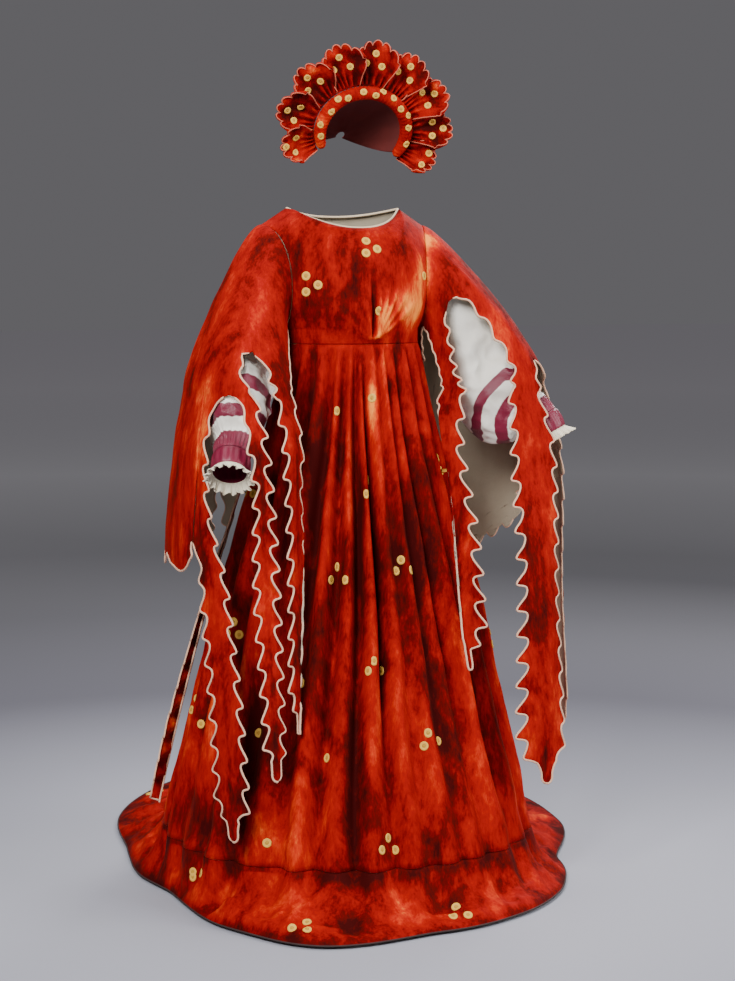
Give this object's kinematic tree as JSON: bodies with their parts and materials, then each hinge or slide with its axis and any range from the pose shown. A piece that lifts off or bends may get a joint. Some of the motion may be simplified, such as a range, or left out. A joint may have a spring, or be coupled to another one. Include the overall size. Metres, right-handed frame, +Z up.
{
  "type": "stage gown with petalled headdress",
  "caption": "Floor-length high-waisted velvet stage gown with a train, hanging dagged oversleeves over striped undersleeves, and a petalled padded headdress.",
  "frame": {"origin": "middle of the shoulder line, where the gown hangs from the shoulders", "axes": "+Z up, front faces -Y, +X to the wearer's left; the hem lies 1.47 m below the origin"},
  "size_m": [1.1803, 1.6279, 1.87],
  "materials": {
    "velvet": "crushed velvet with mottled pile",
    "satin": "ivory satin with crimson bands",
    "crimson": "satin",
    "lace": "matt lace",
    "piping": "satin cord"
  },
  "bodies": {
    "root": {"bodice_front": "velvet", "bodice_back": "velvet", "skirt_front": "velvet", "skirt_side_left": "velvet", "skirt_back": "velvet", "skirt_side_right": "velvet", "hem_band": "velvet", "oversleeve_left": "velvet", "oversleeve_right": "velvet", "headdress_roll": "velvet", "headdress_cap": "velvet", "petal_1": "velvet", "petal_2": "velvet", "petal_3": "velvet", "petal_4": "velvet", "petal_5": "velvet", "petal_6": "velvet", "petal_7": "velvet", "petal_8": "velvet", "petal_9": "velvet", "neck_piping": "piping", "undersleeve_left": "satin", "cuff_left": "crimson", "frill_left": "lace", "undersleeve_right": "satin", "cuff_right": "crimson", "frill_right": "lace"}
  },
  "joints": []
}
